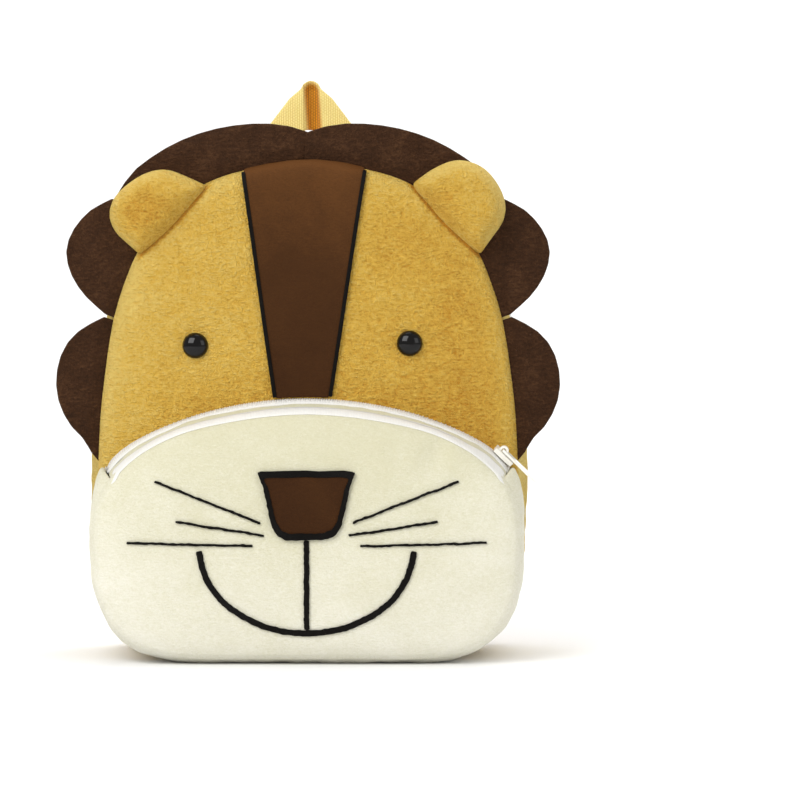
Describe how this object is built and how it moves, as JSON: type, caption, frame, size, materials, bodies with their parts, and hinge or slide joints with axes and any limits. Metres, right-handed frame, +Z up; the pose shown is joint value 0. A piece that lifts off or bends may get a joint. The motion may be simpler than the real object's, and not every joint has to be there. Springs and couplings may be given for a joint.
{
  "type": "kids animal backpack",
  "caption": "Small plush backpack with a lion's face, a zipped muzzle pocket, brown mane lobes, ears, webbing handle and padded shoulder straps with plastic buckles.",
  "frame": {"origin": "middle of the whole bag's width and depth, at the height of its base", "axes": "+Z up, -Y the way the lion looks, +X to the right of the face seen from the front"},
  "size_m": [0.2618, 0.148, 0.301],
  "materials": {
    "yellow_plush": "short plush pile",
    "pale_yellow_plush": "short plush pile",
    "cream_plush": "short plush pile",
    "brown_plush": "smooth short plush",
    "mane_plush": "smooth short plush",
    "strap_plush": "short plush pile",
    "black_thread": "satin stitched thread",
    "webbing": "ribbed woven webbing",
    "zip_tape": "woven tape with a coil",
    "white_plastic": "satin",
    "beige_plastic": "moulded satin",
    "eye_plastic": "polished dome"
  },
  "bodies": {
    "bag": {"face_panel": "yellow_plush", "back_panel": "yellow_plush", "ear_left": "yellow_plush", "ear_right": "yellow_plush", "base_band": "pale_yellow_plush", "top_band_front": "pale_yellow_plush", "top_band_back": "pale_yellow_plush", "pocket_front": "cream_plush", "pocket_band": "cream_plush", "pocket_top_band": "cream_plush", "forehead_stripe": "brown_plush", "nose_patch": "brown_plush", "stripe_edge_left": "black_thread", "stripe_edge_right": "black_thread", "nose_outline": "black_thread", "smile_line": "black_thread", "mouth_line": "black_thread", "main_zip": "zip_tape", "pocket_zip": "zip_tape", "main_zip_slider": "white_plastic", "pocket_zip_slider": "white_plastic", "eye_left": "eye_plastic", "eye_right": "eye_plastic", "handle": "webbing", "strap_tail_left": "webbing", "strap_tail_right": "webbing", "strap_anchor_left": "webbing", "strap_anchor_right": "webbing", "strap_left": "strap_plush", "strap_right": "strap_plush", "buckle_left": "beige_plastic", "buckle_right": "beige_plastic", "mane_left_1": "mane_plush", "whisker_left_1": "black_thread", "mane_left_2": "mane_plush", "whisker_left_2": "black_thread", "mane_left_3": "mane_plush", "whisker_left_3": "black_thread", "mane_right_1": "mane_plush", "whisker_right_1": "black_thread", "mane_right_2": "mane_plush", "whisker_right_2": "black_thread", "mane_right_3": "mane_plush", "whisker_right_3": "black_thread"},
    "zip_pull": {"pocket_zip_pull": "white_plastic"}
  },
  "joints": [
    {"name": "zip_pull_hinge", "type": "hinge", "parent": "bag", "child": "zip_pull", "pos_m": [0.10166, -0.04657, 0.10935], "axis": [-0.103, -0.9687, -0.2258], "range_deg": [0, 170]}
  ]
}
